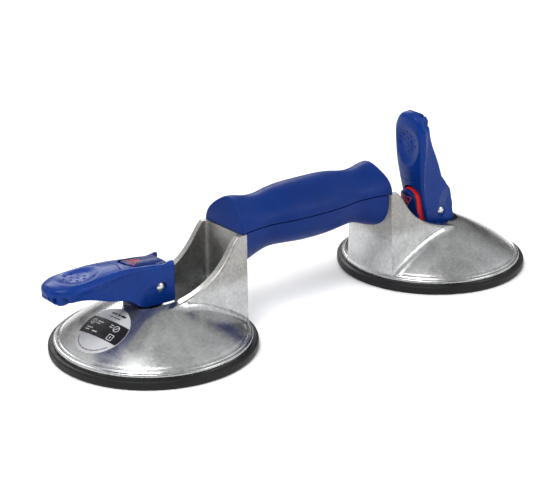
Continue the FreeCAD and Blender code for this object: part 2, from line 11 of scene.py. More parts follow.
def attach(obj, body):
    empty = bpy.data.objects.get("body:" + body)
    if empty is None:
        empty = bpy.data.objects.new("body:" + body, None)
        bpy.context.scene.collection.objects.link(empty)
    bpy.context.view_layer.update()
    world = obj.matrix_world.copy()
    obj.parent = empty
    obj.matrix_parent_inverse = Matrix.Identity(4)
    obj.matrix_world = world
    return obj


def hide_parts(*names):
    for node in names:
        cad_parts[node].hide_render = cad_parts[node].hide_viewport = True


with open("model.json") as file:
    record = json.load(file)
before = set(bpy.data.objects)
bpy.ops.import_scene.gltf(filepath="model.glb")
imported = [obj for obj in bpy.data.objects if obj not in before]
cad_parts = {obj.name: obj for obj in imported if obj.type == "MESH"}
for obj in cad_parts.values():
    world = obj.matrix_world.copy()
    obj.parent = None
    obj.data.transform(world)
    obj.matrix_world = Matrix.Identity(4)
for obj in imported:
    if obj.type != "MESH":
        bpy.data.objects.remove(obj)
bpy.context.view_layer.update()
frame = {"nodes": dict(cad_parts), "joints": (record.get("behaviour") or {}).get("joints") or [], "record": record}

MM = 0.001
NODES = frame["nodes"]
JOINTS = {joint["name"]: joint for joint in frame["joints"]}
SIDES = ("left", "right")

# ---- mechanism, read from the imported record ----
LEVER_TRAVEL = math.radians(JOINTS["lever_hinge_left"]["range_deg"][1])
INDICATOR_TRAVEL = JOINTS["indicator_slide_left"]["range_m"][1] / MM
PIN_AT = {side: Vector(JOINTS["lever_hinge_" + side]["pos_m"]) for side in SIDES}
CUP_X = PIN_AT["right"].x

scene = bpy.context.scene
scene.view_settings.view_transform = "Standard"


# ---- small node-graph helper ----
class Graph:
    """Makes nodes with named inputs, so that a material reads as a list of steps."""

    def __init__(self, tree):
        self.tree = tree

    def node(self, kind, settings=None, **inputs):
        made = self.tree.nodes.new(kind)
        for key, value in (settings or {}).items():
            setattr(made, key, value)
        for key, value in inputs.items():
            self.plug(made.inputs[key.replace("_", " ")], value)
        return made

    def plug(self, socket, value):
        if isinstance(value, bpy.types.NodeSocket):
            self.tree.links.new(value, socket)
        elif isinstance(value, bpy.types.Node):
            self.tree.links.new(value.outputs[0], socket)
        elif isinstance(value, (tuple, list)) and len(value) == 3 and socket.type == "RGBA":
            socket.default_value = (*value, 1.0)
        else:
            socket.default_value = value

    def ramp(self, value, stops):
        made = self.node("ShaderNodeValToRGB", Fac=value)
        elements = made.color_ramp.elements
        while len(elements) < len(stops):
            elements.new(0.5)
        for element, (at, colour) in zip(elements, stops):
            element.position = at
            element.color = (*colour, 1.0)
        return made.outputs["Color"]

    def noise(self, scale, detail=3.0, rough=0.5, distortion=0.0, at=None):
        made = self.node("ShaderNodeTexNoise", Scale=scale, Detail=detail, Roughness=rough,
                         Distortion=distortion)
        self.plug(made.inputs["Vector"], at if at is not None else self.place())
        return made.outputs["Fac"]

    def place(self):
        return self.node("ShaderNodeTexCoord").outputs["Object"]

    def math(self, what, a, b=0.0):
        made = self.node("ShaderNodeMath", {"operation": what})
        self.plug(made.inputs[0], a)
        self.plug(made.inputs[1], b)
        return made.outputs[0]

    def between(self, value, low, high, to_low, to_high):
        made = self.node("ShaderNodeMapRange", {"interpolation_type": "SMOOTHSTEP"})
        for socket, number in zip(made.inputs, (value, low, high, to_low, to_high)):
            self.plug(socket, number)
        return made.outputs["Result"]

    def mix(self, share, a, b):
        made = self.node("ShaderNodeMix", {"data_type": "RGBA"})
        self.plug(made.inputs["Factor"], share)
        self.plug(made.inputs[6], a)
        self.plug(made.inputs[7], b)
        return made.outputs[2]


def material(name, **fixed):
    """A Principled material. Fixed numbers go straight on the shader's own sockets."""
    made = bpy.data.materials.new(name)
    made.use_nodes = True
    tree = made.node_tree
    shader = tree.nodes["Principled BSDF"]
    graph = Graph(tree)
    for key, value in fixed.items():
        graph.plug(shader.inputs[key.replace("_", " ")], value)
    return made, graph, shader


def bump(graph, shader, height, distance, strength=1.0):
    made = graph.node("ShaderNodeBump", Strength=strength, Distance=distance, Height=height)
    graph.tree.links.new(made.outputs[0], shader.inputs["Normal"])


# ---- camera, floor and light ----
# Fitted to the photograph: angles in degrees, distances in metres, lens and sensor in millimetres.
CAMERA = {"azimuth": -38.48, "elevation": 20.77, "distance": 1.00032, "across": -0.0158, "above": 0.03331,
          "lens": 107.74, "sensor": 36.0}
# Name, place, target, size across and along, and power.
LIGHTS = [("key", (-0.9, -0.5, 1.5), (0, 0, 0), (0.8, 0.8), 24.0),
          ("back", (0.5, 1.3, 1.0), (0, 0, 0), (1.2, 0.6), 15.0),
          ("front", (0.9, -1.5, 0.7), (0, 0, 0.03), (0.8, 0.8), 7.0)]
# Sky: grey by height, with a brighter wall at both ends of one horizontal direction.
SKY_GREYS = [(0.0, 0.60), (0.10, 0.18), (0.40, 0.30), (0.80, 1.05)]
SKY_WALL_DIRECTION, SKY_WALL_COLOUR = (0.783, -0.622), (2.0, 2.0, 2.04)
SKY_WALL_FADE_ACROSS, SKY_WALL_FADE_UP = (0.40, 0.85), (0.08, 0.32)
SKY_STRENGTH = 0.55
FLOOR_HALF_SIZE, FLOOR_DROP = 6.0, 0.0002


def make_camera():
    """Stands at the photograph's angle, moved sideways and up in its own plane."""
    azimuth, elevation = math.radians(CAMERA["azimuth"]), math.radians(CAMERA["elevation"])
    back = Vector((math.sin(azimuth) * math.cos(elevation),
                   -math.cos(azimuth) * math.cos(elevation), math.sin(elevation)))
    right = Vector((math.cos(azimuth), math.sin(azimuth), 0))
    up = back.cross(right)
    place = back * CAMERA["distance"] + right * CAMERA["across"] + up * CAMERA["above"]
    turn = Matrix((right, up, back)).transposed()
    camera = bpy.data.objects.new("camera", bpy.data.cameras.new("camera"))
    scene.collection.objects.link(camera)
    camera.matrix_world = Matrix.Translation(place) @ turn.to_4x4()
    camera.data.lens = CAMERA["lens"]
    camera.data.sensor_width = CAMERA["sensor"]
    scene.camera = camera


def area_light(name, place, target, size, power):
    data = bpy.data.lights.new(name, "AREA")
    data.energy = power
    data.shape = "RECTANGLE"
    data.size, data.size_y = size
    light = bpy.data.objects.new(name, data)
    scene.collection.objects.link(light)
    light.location = place
    light.rotation_euler = (Vector(target) - Vector(place)).to_track_quat("-Z", "Y").to_euler()


def make_world():
    """A soft grey studio, which the cast metal reflects."""
    world = bpy.data.worlds.new("studio")
    world.use_nodes = True
    scene.world = world
    tree = world.node_tree
    tree.nodes.clear()
    graph = Graph(tree)
    place = graph.node("ShaderNodeTexCoord")
    split = graph.node("ShaderNodeSeparateXYZ", Vector=place.outputs["Generated"])
    height = split.outputs["Z"]
    greys = graph.ramp(height, [(at, (grey,) * 3) for at, grey in SKY_GREYS])
    across = graph.math("ADD", graph.math("MULTIPLY", split.outputs["X"], SKY_WALL_DIRECTION[0]),
                        graph.math("MULTIPLY", split.outputs["Y"], SKY_WALL_DIRECTION[1]))
    sideways = graph.between(graph.math("ABSOLUTE", across), *SKY_WALL_FADE_ACROSS, 0.0, 1.0)
    raised = graph.between(height, *SKY_WALL_FADE_UP, 0.0, 1.0)
    lit = graph.mix(graph.math("MULTIPLY", sideways, raised), greys, SKY_WALL_COLOUR)
    sky = graph.node("ShaderNodeBackground", Color=lit, Strength=SKY_STRENGTH)
    out = graph.node("ShaderNodeOutputWorld")
    tree.links.new(sky.outputs[0], out.inputs["Surface"])


def make_floor():
    """A pale square that the object stands on, just below its underside."""
    made, g, shader = material("floor", Roughness=0.9)
    pale = g.ramp(g.noise(3.0), [(0.3, (0.93, 0.93, 0.93)), (0.7, (0.95, 0.95, 0.95))])
    g.plug(shader.inputs["Base Color"], pale)
    shader.inputs["Specular IOR Level"].default_value = 0.1
    corners = [(x * FLOOR_HALF_SIZE, y * FLOOR_HALF_SIZE, 0) for x, y in ((-1, -1), (1, -1), (1, 1), (-1, 1))]
    mesh = bpy.data.meshes.new("floor")
    mesh.from_pydata(corners, [], [(0, 1, 2, 3)])
    mesh.materials.append(made)
    floor = bpy.data.objects.new("floor", mesh)
    scene.collection.objects.link(floor)
    floor.location.z = -FLOOR_DROP


# ---- materials ----
TONE_SPLIT_FROM, TONE_SPLIT_FULL = 0.030, 0.038     # heights between which the domes' lighter, smoother colour gives way to the pedestals' darker, rougher one


def cast_aluminium():
    """Die casting: darker, rougher and mottled on the pedestals, lighter in colour and smoother on the domes,
    split by height.
    """
    made, g, shader = material("cast_aluminium", Metallic=1.0)
    place = g.place()
    height = g.node("ShaderNodeSeparateXYZ", Vector=place).outputs["Z"]
    raised = g.between(height, TONE_SPLIT_FROM, TONE_SPLIT_FULL, 0.0, 1.0)
    blotch = g.noise(42.0, 6.0, 0.62, 0.6)
    speck = g.noise(520.0, 3.0, 0.6)
    cloud = g.math("ADD", g.math("MULTIPLY", blotch, 0.6), g.math("MULTIPLY", speck, 0.4))
    pedestal_tone = g.ramp(cloud, [(0.34, (0.25, 0.245, 0.235)), (0.50, (0.37, 0.365, 0.35)),
                           (0.66, (0.46, 0.455, 0.44))])
    dome_tone = g.ramp(cloud, [(0.34, (0.33, 0.335, 0.335)), (0.55, (0.50, 0.505, 0.505)),
                            (0.70, (0.60, 0.605, 0.605))])
    g.plug(shader.inputs["Base Color"], g.mix(raised, dome_tone, pedestal_tone))
    rough_low = g.between(blotch, 0.3, 0.7, 0.20, 0.34)
    rough_high = g.between(blotch, 0.3, 0.7, 0.42, 0.56)
    step = g.math("SUBTRACT", rough_high, rough_low)
    g.plug(shader.inputs["Roughness"], g.math("ADD", rough_low, g.math("MULTIPLY", step, raised)))
    grain = g.math("ADD", g.math("MULTIPLY", g.noise(900.0, 2.0), 0.5), g.noise(170.0, 4.0, 0.6))
    bump(g, shader, grain, 0.00010, 0.35)
    return made


def moulded_plastic(name, dark, light, rough, grain_size=1500.0, grain_depth=0.00004, coat=0.0):
    """Moulded plastic: slight flow marks in the colour and a fine spark-eroded grain."""
    made, g, shader = material(name, Coat_Weight=coat, Coat_Roughness=0.25)
    shader.inputs["Specular IOR Level"].default_value = 0.13
    flow = g.noise(38.0, 3.0, 0.5, 0.4)
    g.plug(shader.inputs["Base Color"], g.ramp(flow, [(0.35, dark), (0.68, light)]))
    polish = g.noise(260.0, 2.0)
    g.plug(shader.inputs["Roughness"], g.between(polish, 0.3, 0.7, rough - 0.05, rough + 0.06))
    grain = g.math("ADD", g.noise(grain_size, 2.0, 0.6), g.math("MULTIPLY", g.noise(300.0), 0.4))
    bump(g, shader, grain, grain_depth, 0.5)
    return made


def pad_rubber():
    """Matt black rubber with a little dust."""
    made, g, shader = material("pad_rubber")
    shader.inputs["Specular IOR Level"].default_value = 0.22
    dust = g.noise(90.0, 5.0, 0.65, 0.3)
    g.plug(shader.inputs["Base Color"], g.ramp(dust, [(0.35, (0.006, 0.006, 0.0065)),
                                                      (0.62, (0.010, 0.010, 0.011)),
                                                      (0.80, (0.020, 0.020, 0.021))]))
    g.plug(shader.inputs["Roughness"], g.between(dust, 0.3, 0.75, 0.42, 0.62))
    bump(g, shader, g.noise(700.0, 3.0), 0.00008, 0.4)
    return made


def machined_metal(name, colour, rough):
    """Turned or ground metal with a fine directional grain."""
    made, g, shader = material(name, Metallic=1.0)
    stretch = g.node("ShaderNodeMapping", Vector=g.place())
    stretch.inputs["Scale"].default_value = (1.0, 0.15, 1.0)
    lines = g.noise(1400.0, 2.0, 0.6, at=stretch.outputs[0])
    low = tuple(c * 0.82 for c in colour)
    g.plug(shader.inputs["Base Color"], g.ramp(lines, [(0.3, low), (0.7, colour)]))
    g.plug(shader.inputs["Roughness"], g.between(lines, 0.3, 0.7, rough - 0.05, rough + 0.08))
    bump(g, shader, lines, 0.00002, 0.4)
    return made


MATERIALS = {
    "cast_aluminium": cast_aluminium(),
    "grip_plastic": moulded_plastic("grip_plastic", (0.0010, 0.017, 0.120), (0.0014, 0.022, 0.150), 0.42),
    "lever_plastic": moulded_plastic("lever_plastic", (0.0012, 0.025, 0.170), (0.0018, 0.031, 0.205), 0.30,
                                     grain_size=1300.0, grain_depth=0.00002, coat=0.04),
    # Painted shade: a darker copy of the lever's blue, for the cam block in the lever's shadow.
    "cam_plastic": moulded_plastic("cam_plastic", (0.0010, 0.010, 0.070), (0.0014, 0.013, 0.09), 0.42),
    "indicator_red": moulded_plastic("indicator_red", (0.42, 0.010, 0.012), (0.52, 0.016, 0.018), 0.36),
    # Partly painted shade: the cap is the lever's blue, darkened here halfway towards how it looks in shade.
    "indicator_blue": moulded_plastic("indicator_blue", (0.0012, 0.013, 0.095), (0.0016, 0.017, 0.115),
                                      0.34),
    "sign_red": moulded_plastic("sign_red", (0.42, 0.050, 0.040), (0.50, 0.065, 0.050), 0.45),
    "pad_rubber": pad_rubber(),
    "rod_steel": machined_metal("rod_steel", (0.55, 0.55, 0.56), 0.32),
    "pin_steel": machined_metal("pin_steel", (0.66, 0.66, 0.66), 0.28),
    "wear_steel": machined_metal("wear_steel", (0.45, 0.46, 0.48), 0.30),
    "bush_bronze": machined_metal("bush_bronze", (0.60, 0.42, 0.20), 0.32),
    "label_foil": moulded_plastic("label_foil", (0.40, 0.40, 0.415), (0.50, 0.50, 0.515), 0.30),
    "label_black": moulded_plastic("label_black", (0.010, 0.010, 0.012), (0.016, 0.016, 0.018), 0.30),
    "label_white": moulded_plastic("label_white", (0.50, 0.50, 0.51), (0.62, 0.62, 0.63), 0.35),
}


# ---- mesh helpers ----
def smooth_curve(knots, at):
    """Natural cubic spline through (position, value) knots."""
    x, y = (np.array(column, float) for column in zip(*knots))
    n = len(x)
    h = np.diff(x)
    a = np.zeros((n, n))
    r = np.zeros(n)
    a[0, 0] = a[-1, -1] = 1.0
    for i in range(1, n - 1):
        a[i, i - 1:i + 2] = h[i - 1], 2 * (h[i - 1] + h[i]), h[i]
        r[i] = 6 * ((y[i + 1] - y[i]) / h[i] - (y[i] - y[i - 1]) / h[i - 1])
    m = np.linalg.solve(a, r)
    i = np.clip(np.searchsorted(x, at) - 1, 0, n - 2)
    t = np.clip(at, x[0], x[-1]) - x[i]
    s = h[i] - t
    return ((m[i] * s ** 3 + m[i + 1] * t ** 3) / (6 * h[i]) + (y[i] / h[i] - m[i] * h[i] / 6) * s
            + (y[i + 1] / h[i] - m[i + 1] * h[i] / 6) * t)


def smoothstep(value, low, high):
    """0 below low, 1 above high, and smooth between."""
    t = np.clip((value - low) / (high - low), 0.0, 1.0)
    return t * t * (3 - 2 * t)


def split_line(start, end, parts):
    """Points that split a straight line, without its ends."""
    start, end = np.array(start, float), np.array(end, float)
    return [start + (end - start) * k / parts for k in range(1, parts)]


def arc(centre, radius, start, turn, parts):
    """Points round an arc, with both its ends. The angles are in degrees."""
    angles = np.radians(start + turn * np.arange(parts + 1) / parts)
    return [(centre[0] + radius * math.cos(a), centre[1] + radius * math.sin(a)) for a in angles]


def rounded(corners, radii, per_corner, per_side):
    """Open polyline through corners, with each inner corner rounded by its radius.

    per_side gives the parts of the first straight stretches. The others have six.
    """
    points = [np.array(corners[0], float)]
    counts = list(per_side) + [6] * (len(corners) - 1 - len(per_side))
    for before, corner, after, radius, count in zip(corners[:-2], corners[1:-1], corners[2:], radii, counts):
        before, corner, after = (np.array(p, float) for p in (before, corner, after))
        into = (corner - before) / np.linalg.norm(corner - before)
        out = (after - corner) / np.linalg.norm(after - corner)
        start, end = corner - into * radius, corner + out * radius
        points += split_line(points[-1], start, count)
        for t in np.arange(per_corner + 1) / per_corner:
            points.append((1 - t) ** 2 * start + 2 * t * (1 - t) * corner + t * t * end)
    points += split_line(points[-1], corners[-1], counts[-1])
    return np.array(points + [np.array(corners[-1], float)])


def shade(obj, angle):
    """Smooth shading, with edges sharper than an angle in degrees left sharp."""
    obj.data.polygons.foreach_set("use_smooth", [True] * len(obj.data.polygons))
    obj.data.set_sharp_from_angle(angle=math.radians(angle))


def make_object(name, vertices, faces, paint, angle):
    """A shaded mesh object with one material."""
    mesh = bpy.data.meshes.new(name)
    mesh.from_pydata([tuple(v) for v in vertices], [], [tuple(f) for f in faces])
    mesh.update()
    obj = bpy.data.objects.new(name, mesh)
    scene.collection.objects.link(obj)
    mesh.materials.append(MATERIALS[paint])
    shade(obj, angle)
    return obj


def tube_faces(rings, around):
    """Quads between closed rings of equal count, with a flat cap at each end."""
    faces = []
    for i in range(rings - 1):
        for j in range(around):
            k = (j + 1) % around
            faces.append((i * around + j, i * around + k, (i + 1) * around + k, (i + 1) * around + j))
    return faces + [tuple(reversed(range(around))), tuple(range((rings - 1) * around, rings * around))]


def finished(obj, body, slot, *replaced):
    """Puts a piece on its body, in place of CAD nodes if it stands for any. The slot argument is not used."""
    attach(obj, body)
    if replaced:
        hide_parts(*replaced)


def outward(obj):
    """Make the face normals point out."""
    work = bmesh.new()
    work.from_mesh(obj.data)
    bmesh.ops.recalc_face_normals(work, faces=work.faces)
    work.to_mesh(obj.data)
    work.free()


def cut(obj, *cutters):
    """Exact boolean difference, applied, with the cutters removed."""
    for cutter in cutters:
        outward(cutter)
        step = obj.modifiers.new("cut", "BOOLEAN")
        step.operation = "DIFFERENCE"
        step.solver = "EXACT"
        step.object = cutter
    bpy.context.view_layer.update()
    graph = bpy.context.evaluated_depsgraph_get()
    mesh = bpy.data.meshes.new_from_object(obj.evaluated_get(graph))
    obj.modifiers.clear()
    old = obj.data
    obj.data = mesh
    bpy.data.meshes.remove(old)
    for cutter in cutters:
        bpy.data.objects.remove(cutter)


def prism(name, outline, low, high, axis, paint):
    """Closed prism of a 2D outline, along one axis. The outline lies in the other two."""
    vertices = [[*point[:axis], level, *point[axis:]] for level in (low, high) for point in outline]
    obj = make_object(name, vertices, tube_faces(2, len(outline)), paint, 32.0)
    outward(obj)
    return obj


def box(name, low, high, paint):
    """Closed box between two opposite corners."""
    outline = [(low[0], low[1]), (high[0], low[1]), (high[0], high[1]), (low[0], high[1])]
    return prism(name, outline, low[2], high[2], 2, paint)


def disc_outline(x, z, radius, count=32):
    return arc((x, z), radius, 0, 360, count)[:-1]


def stacked(name, rings, paint, angle):
    """Closed skin over rings of equal count."""
    obj = make_object(name, np.concatenate(rings), tube_faces(len(rings), len(rings[0])), paint, angle)
    outward(obj)
    return obj


def tile(name, strips, place, paint, angle):
    """Thin closed tiles. A strip is a list of pairs across it; place gives a point's top and bottom."""
    vertices, faces = [], []
    for strip in strips:
        first = len(vertices)
        for pair in strip:
            for a, b in pair:
                vertices += place(a, b)
        last = len(vertices) - 4
        for i in range(first, last, 4):
            j = i + 4
            faces += [(i, j, j + 2, i + 2), (i + 1, i + 3, j + 3, j + 1),
                      (i, i + 1, j + 1, j), (i + 2, j + 2, j + 3, i + 3)]
        faces += [(first, first + 2, first + 3, first + 1), (last, last + 1, last + 3, last + 2)]
    obj = make_object(name, vertices, faces, paint, angle)
    outward(obj)
    return obj


def stroke(start, end, width, parts=8):
    """A straight strip of given width between two points, as pairs across it."""
    start, end = np.array(start, float), np.array(end, float)
    along = (end - start) / np.linalg.norm(end - start)
    across = np.array([-along[1], along[0]]) * width / 2
    middle = [start] + split_line(start, end, parts) + [end]
    return [(point + across, point - across) for point in middle]


def ring_strip(x, y, radius, width):
    """A strip round a circle."""
    return list(zip(arc((x, y), radius + width / 2, 0, 360, 28), arc((x, y), radius - width / 2, 0, 360, 28)))


def frame_strips(low, high, width, overhang=0.0, parts=8):
    """A plain rectangle's four strokes."""
    bottom, top = low[1] - overhang, high[1] + overhang
    return ([stroke((low[0], b), (high[0], b), width, parts) for b in (low[1], high[1])]
            + [stroke((a, bottom), (a, top), width, parts) for a in (low[0], high[0])])


# ---- lever, drawn folded with the pin at the origin, in millimetres ----
# u runs along the lever from the pivot to the tip, y across it and v up.
LEVER_START, LEVER_TIP = -9.0, 69.6
LEVER_HALF_WIDTH = 13.25
LEVER_END_ROUNDING, LEVER_STEP = 0.9, 0.3
CORNER_PARTS, SIDE_PARTS, TOP_PARTS = 7, (8, 44), 41
TOP_SHARE = 0.75     # the crown's curve takes over at this share of the rim's half-width
# u: underside, underside half-width, crease height and half-width, widest height and half-width,
# rim height and half-width, crown height
LEVER_SECTIONS = [
    (-9.0, -9.4, 9.65, 11.4, 9.65, 12.5, 9.68, 14.0, 8.9, 14.2),
    (-6.8, -9.9, 9.65, 11.5, 9.65, 12.5, 9.68, 14.1, 8.8, 14.3),
    (-4.0, -10.2, 9.65, 11.6, 9.65, 12.5, 9.68, 13.5, 8.8, 13.7),
    (4.0, -10.2, 9.65, 12.0, 9.65, 13.0, 9.68, 14.0, 8.7, 14.4),
    (13.5, -8.4, 9.65, 12.5, 9.7, 13.6, 9.8, 15.0, 8.7, 15.8),
    (19.4, -3.9, 9.75, 12.7, 9.85, 13.9, 10.25, 15.7, 8.9, 16.9),
    (27.4, -1.2, 9.9, 12.6, 10.2, 14.2, 11.2, 16.2, 9.5, 17.6),
    (36.4, 1.2, 10.4, 11.9, 11.0, 13.9, 12.4, 16.2, 10.6, 17.8),
    (44.4, 3.9, 10.9, 10.4, 11.6, 13.0, 13.1, 15.9, 11.1, 17.4),
    (53.4, 5.9, 11.1, 9.3, 11.8, 12.4, 13.25, 15.5, 11.1, 16.9),
    (60.4, 5.7, 11.1, 9.0, 11.8, 12.2, 13.25, 14.9, 11.1, 16.3),
    (64.4, 5.1, 11.1, 9.1, 11.8, 12.1, 13.25, 14.3, 11.2, 15.6),
    (66.8, 5.9, 11.4, 9.3, 11.9, 12.1, 13.25, 13.9, 11.5, 15.0),
    (68.3, 7.5, 11.8, 9.9, 12.2, 12.0, 13.25, 13.4, 11.9, 14.2),
    (69.2, 9.4, 12.2, 10.8, 12.5, 12.0, 13.25, 12.8, 12.3, 13.3),
    (69.6, 11.2, 12.6, 11.6, 12.8, 12.0, 13.25, 12.3, 12.9, 12.5)]
PLAN_ROUNDING_START, PLAN_POWER = 54.4, 2.1
TIP_START = 65.4
# Radii of a section's corners from the underside up. The two upper ones grow towards the tip.
BASE_RADIUS, CREASE_RADIUS, EDGE_RADII, EDGE_RADII_GROWTH = 1.2, 0.35, (0.6, 1.1), (0.8, 0.5)
EDGE_GROWTH_STRETCH, MOST_ROUNDING = (20.0, 50.0), 0.42
TOP_DEPTH_REACH = 3.2
THUMB = {"at": 48.4, "half_length": 13.6, "half_width": 10.2, "depth": 2.2, "egg": 0.16}
DIMPLES_AT, DIMPLE_PITCH, DIMPLE_ROW_PITCH = 50.7, 4.4, 3.2
DIMPLE_COUNTS = (2, 3, 4, 3, 2)
DIMPLE_RADIUS, DIMPLE_DEPTH = 1.0, 0.36
CROSS_LINE = {"at": 24.6, "bow": 1.4, "depth": 0.35, "half_width": 0.42, "reach": 8.2}
FACET = {"u": 3.8, "v": -9.8, "radius": 12.5, "slope": 0.20, "fade": (8.8, 9.3)}
CHEEK_HALF_WIDTH = 9.7
RECESS_HALF_WIDTH, RECESS_END, RECESS_FLOOR = 7.6, 21.6, 6.9
CAM_ROOM_HALF_WIDTH, CAM_ROOM_END = 7.1, 24.0
PIN_RADIUS, PIN_HEAD_RADIUS, PIN_HEAD_DEPTH = 2.56, 3.5, 1.3
NOTCH_PITCH, NOTCH_WIDTH, NOTCH_COUNT = 3.2, 1.8, 7
NOTCH_ROOF = [(68.0, 9.9), (66.5, 9.3), (63.6, 7.2), (62.0, 0.0)]     # (u, v) from the tip inwards
NOTCH_FAN, NOTCH_FAN_POWER = 0.04375, 1.2
FAR, PAST_TIP = 20.0, 80.0     # where a cutter ends, outside the lever


def plan_share(u):
    """Share of the full width left at u: a round plan towards the tip."""
    t = np.clip((u - PLAN_ROUNDING_START) / (LEVER_TIP + 0.1 - PLAN_ROUNDING_START), 0.0, 1.0)
    return np.clip(1.0 - t ** PLAN_POWER, 0.0, 1.0) ** 0.5


def plan_recess(y):
    """How far the tip's edge lies behind the tip itself at half-width y."""
    t = (1.0 - min(1.0, abs(y) / LEVER_HALF_WIDTH) ** 2) ** (1 / PLAN_POWER)
    return (LEVER_TIP - PLAN_ROUNDING_START) * (1.0 - t)


def lever_ring(u):
    """One closed cross-section, as (y, v) points."""
    table = np.array(LEVER_SECTIONS)
    values = [float(smooth_curve(list(zip(table[:, 0], table[:, k])), np.array([u]))[0])
              for k in range(1, table.shape[1])]
    base, low, crease_v, crease_y, wide_v, wide_y, rim_v, rim_y, crown = values
    share = max(0.02, float(plan_share(u)))
    low, crease_y, wide_y, rim_y = (w * share for w in (low, crease_y, wide_y, rim_y))
    room = MOST_ROUNDING * min(abs(crease_v - base), abs(wide_v - crease_v), abs(rim_v - wide_v), low, rim_y)
    grow = float(smoothstep(u, *EDGE_GROWTH_STRETCH))
    edges = [radius + growth * grow for radius, growth in zip(EDGE_RADII, EDGE_RADII_GROWTH)]
    radii = [min(radius, room) for radius in (BASE_RADIUS, CREASE_RADIUS, *edges)]
    near_top = (rim_y * TOP_SHARE, rim_v + (crown - rim_v) * (1 - TOP_SHARE ** 2))
    corners = [(0.0, base), (low, base), (crease_y, crease_v), (wide_y, wide_v), (rim_y, rim_v), near_top]
    side = rounded(corners, radii, CORNER_PARTS, SIDE_PARTS)
    ys = np.linspace(side[-1][0], 0.0, TOP_PARTS + 1)[1:]
    top = np.stack([ys, rim_v + (crown - rim_v) * (1 - (ys / rim_y) ** 2)], 1)
    half = np.concatenate([side, top])
    return np.concatenate([half, half[1:-1][::-1] * [-1, 1]])


def dimple_centres():
    """Places of the dimples, in rows along the lever."""
    for column, count in enumerate(DIMPLE_COUNTS):
        y = (column - (len(DIMPLE_COUNTS) - 1) / 2) * DIMPLE_ROW_PITCH
        for k in range(count):
            yield DIMPLES_AT + (k - (count - 1) / 2) * DIMPLE_PITCH, y


def top_depth(u, y):
    """Egg-shaped thumb recess with round dimples in its floor, and a thin line across the top."""
    along = (u - THUMB["at"]) / THUMB["half_length"]
    width = THUMB["half_width"] * (1.0 + THUMB["egg"] * np.clip(along, -1, 1))
    inside = 1.0 - np.sqrt(along ** 2 + (y / width) ** 2)
    depth = THUMB["depth"] * smoothstep(inside, -0.04, 0.60) ** 0.8
    for dimple_u, dimple_y in dimple_centres():
        away = np.hypot(u - dimple_u, y - dimple_y) / DIMPLE_RADIUS
        depth = depth + DIMPLE_DEPTH * np.clip(1.0 - away ** 2, 0.0, 1.0)
    away = np.abs(u - CROSS_LINE["at"] - CROSS_LINE["bow"] * (y / 9.0) ** 2) / CROSS_LINE["half_width"]
    line = np.clip(1.0 - away, 0.0, 1.0) * (np.abs(y) < CROSS_LINE["reach"])
    return depth + CROSS_LINE["depth"] * line


def facet_depth(y, u, v):
    """Shallow round hollow in the cheeks, deepest at the underside below the pin."""
    inside = FACET["radius"] - np.hypot(u - FACET["u"], v - FACET["v"])
    return smoothstep(np.abs(y), *FACET["fade"]) * FACET["slope"] * np.clip(inside, 0.0, 8.0)


def shrunk(ring, inset):
    """The ring drawn in towards its centre, for the rounding at the pivot end."""
    centre = ring.mean(0)
    return ring + (centre - ring) * (inset / np.linalg.norm(ring - centre, axis=1))[:, None]


def lever_shell(name):
    """The lever's outer skin, before anything is cut from it."""
    quarter = np.linspace(0.0, math.pi / 2, 7)
    end = LEVER_START + LEVER_END_ROUNDING * (1 - np.cos(quarter))
    body = np.arange(LEVER_START + LEVER_END_ROUNDING + LEVER_STEP, TIP_START, LEVER_STEP)
    tip = TIP_START + (LEVER_TIP - TIP_START) * np.sin(np.linspace(0.0, math.pi / 2, 24))
    rings = []
    for u in np.concatenate([end, body, tip]):
        ring = lever_ring(u)
        edge = LEVER_START + LEVER_END_ROUNDING - u
        if edge > 0:
            inset = LEVER_END_ROUNDING - math.sqrt(max(0.0, LEVER_END_ROUNDING ** 2 - edge ** 2))
            ring = shrunk(ring, inset)
        y, v = ring.T
        v = v - np.where(v > v.max() - TOP_DEPTH_REACH, top_depth(u, y), 0.0)
        y = y - np.sign(y) * facet_depth(y, u, v)
        rings.append(np.stack([np.full_like(y, u), y, v], 1))
    return stacked(name, rings, "lever_plastic", 30.0)


def unit_matrix(side):
    """From the folded lever's own frame to the row frame, at rest."""
    if side == "left":
        turn = Matrix.Rotation(math.pi, 4, "Z")
    else:
        turn = Matrix.Rotation(-LEVER_TRAVEL, 4, "Y")
    return Matrix.Translation(PIN_AT[side]) @ turn @ Matrix.Scale(MM, 4)


def stadium(start, end, half):
    """Plan outline: square at start, round at end."""
    return [(start, -half)] + arc((end - half, 0.0), half, -90, 180, 24) + [(start, half)]


def lever_cutters():
    """Room for the cam, the indicator, the pin and its heads, and the notches under the tip."""
    paint = "lever_plastic"
    cam_room = [(-FAR, -FAR), (CAM_ROOM_END, -FAR), (CAM_ROOM_END, RECESS_FLOOR), (-FAR, RECESS_FLOOR)]
    recess = stadium(-FAR, RECESS_END, RECESS_HALF_WIDTH)
    cutters = [prism("cut_cam", cam_room, -CAM_ROOM_HALF_WIDTH, CAM_ROOM_HALF_WIDTH, 1, paint),
               prism("cut_recess", recess, RECESS_FLOOR - 0.02, FAR, 2, paint),
               prism("cut_bore", disc_outline(0, 0, PIN_RADIUS), -FAR, FAR, 1, paint)]
    for k in range(NOTCH_COUNT):
        y = (k - (NOTCH_COUNT - 1) / 2) * NOTCH_PITCH
        back = plan_recess(abs(y) + NOTCH_WIDTH / 2) + NOTCH_FAN * abs(y) ** NOTCH_FAN_POWER
        roof = [(u - back, v) for u, v in NOTCH_ROOF]
        outline = roof + [(PAST_TIP, NOTCH_ROOF[-1][1]), (PAST_TIP, NOTCH_ROOF[0][1])]
        cutters.append(prism("cut_notch", outline, y - NOTCH_WIDTH / 2, y + NOTCH_WIDTH / 2, 1, paint))
    for cheek in (-1, 1):
        low, high = sorted((cheek * (CHEEK_HALF_WIDTH - PIN_HEAD_DEPTH), cheek * FAR))
        cutters.append(prism("cut_head", disc_outline(0, 0, PIN_HEAD_RADIUS), low, high, 1, paint))
    return cutters


